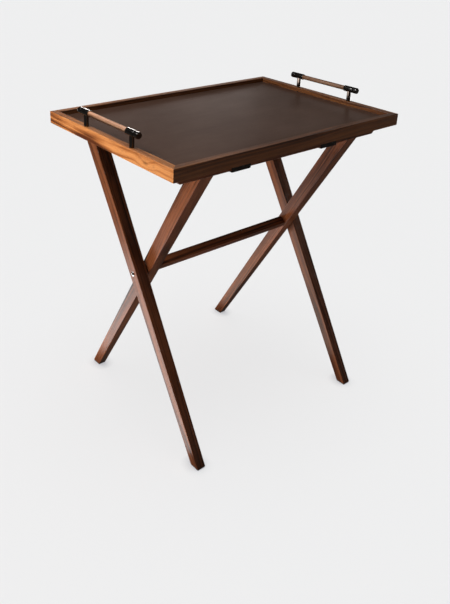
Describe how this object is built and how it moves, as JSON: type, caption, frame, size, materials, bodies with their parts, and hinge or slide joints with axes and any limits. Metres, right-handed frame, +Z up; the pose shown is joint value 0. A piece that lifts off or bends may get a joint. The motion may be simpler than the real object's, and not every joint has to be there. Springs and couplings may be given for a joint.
{
  "type": "folding tray table",
  "caption": "Rectangular wooden tray with mitred rim, dark inset and bar handles, lifting off a folding X stand with tapered legs, stretcher and webbing straps.",
  "frame": {"origin": "on the floor under the middle of the table", "axes": "+X along the tray's long sides to the right, +Y to the back, +Z up"},
  "size_m": [0.64, 0.475, 0.7363],
  "materials": {
    "tray_walnut": "satin oiled walnut",
    "stand_walnut": "satin oiled walnut",
    "panel_board": "stained plywood",
    "leather": "smooth dark brown, low sheen",
    "bar_wood": "satin walnut",
    "black_nickel": "polished black nickel",
    "polished_steel": "polished",
    "screw_steel": "plated",
    "brass": "plain",
    "nylon": "matte black",
    "pad": "matte dark",
    "webbing": "flat woven black webbing",
    "hidden_wood": "plain beech"
  },
  "bodies": {
    "outer_frame": {"foot_pad_outer_left": "pad", "foot_pad_outer_right": "pad", "leg_outer_left": "stand_walnut", "leg_outer_right": "stand_walnut", "pivot_spacer_left": "nylon", "pivot_spacer_right": "nylon", "rail_dowels_back": "hidden_wood", "strap_left": "webbing", "strap_right": "webbing", "strap_screws_back": "screw_steel", "top_rail_back": "stand_walnut"},
    "inner_frame": {"leg_inner_left": "stand_walnut", "leg_inner_right": "stand_walnut", "top_rail_front": "stand_walnut", "stretcher": "stand_walnut", "stretcher_dowels": "hidden_wood", "rail_dowels_front": "hidden_wood", "strap_screws_front": "screw_steel", "foot_pad_inner_left": "pad", "foot_pad_inner_right": "pad", "pivot_bolt_left": "polished_steel", "pivot_bolt_right": "polished_steel", "pivot_insert_left": "brass", "pivot_insert_right": "brass"},
    "tray": {"handle_bar_left": "bar_wood", "handle_bar_right": "bar_wood", "handle_cap_left_back": "black_nickel", "handle_cap_left_front": "black_nickel", "handle_cap_right_back": "black_nickel", "handle_cap_right_front": "black_nickel", "handle_post_left_back": "black_nickel", "handle_post_left_front": "black_nickel", "handle_post_right_back": "black_nickel", "handle_post_right_front": "black_nickel", "handle_screws": "screw_steel", "handle_sleeve_left_back": "black_nickel", "handle_sleeve_left_front": "black_nickel", "handle_sleeve_right_back": "black_nickel", "handle_sleeve_right_front": "black_nickel", "mitre_splines": "hidden_wood", "tray_end_left": "tray_walnut", "tray_end_right": "tray_walnut", "tray_leather_inset": "leather", "tray_panel": "panel_board", "tray_side_back": "tray_walnut", "tray_side_front": "tray_walnut"}
  },
  "joints": [
    {"name": "stand_fold", "type": "hinge", "parent": "outer_frame", "child": "inner_frame", "pos_m": [0, 0, 0.3785], "axis": [-1, 0, 0], "range_deg": [0, 50], "deforming": ["strap_left", "strap_right"]},
    {"name": "tray_lift", "type": "slide", "parent": "outer_frame", "child": "tray", "axis": [0, 0, 1], "range_m": [0, 0.22]}
  ],
  "couplings": [
    {"joint": "tray_lift", "follows": "stand_fold", "m_per_rad": 0.25}
  ]
}
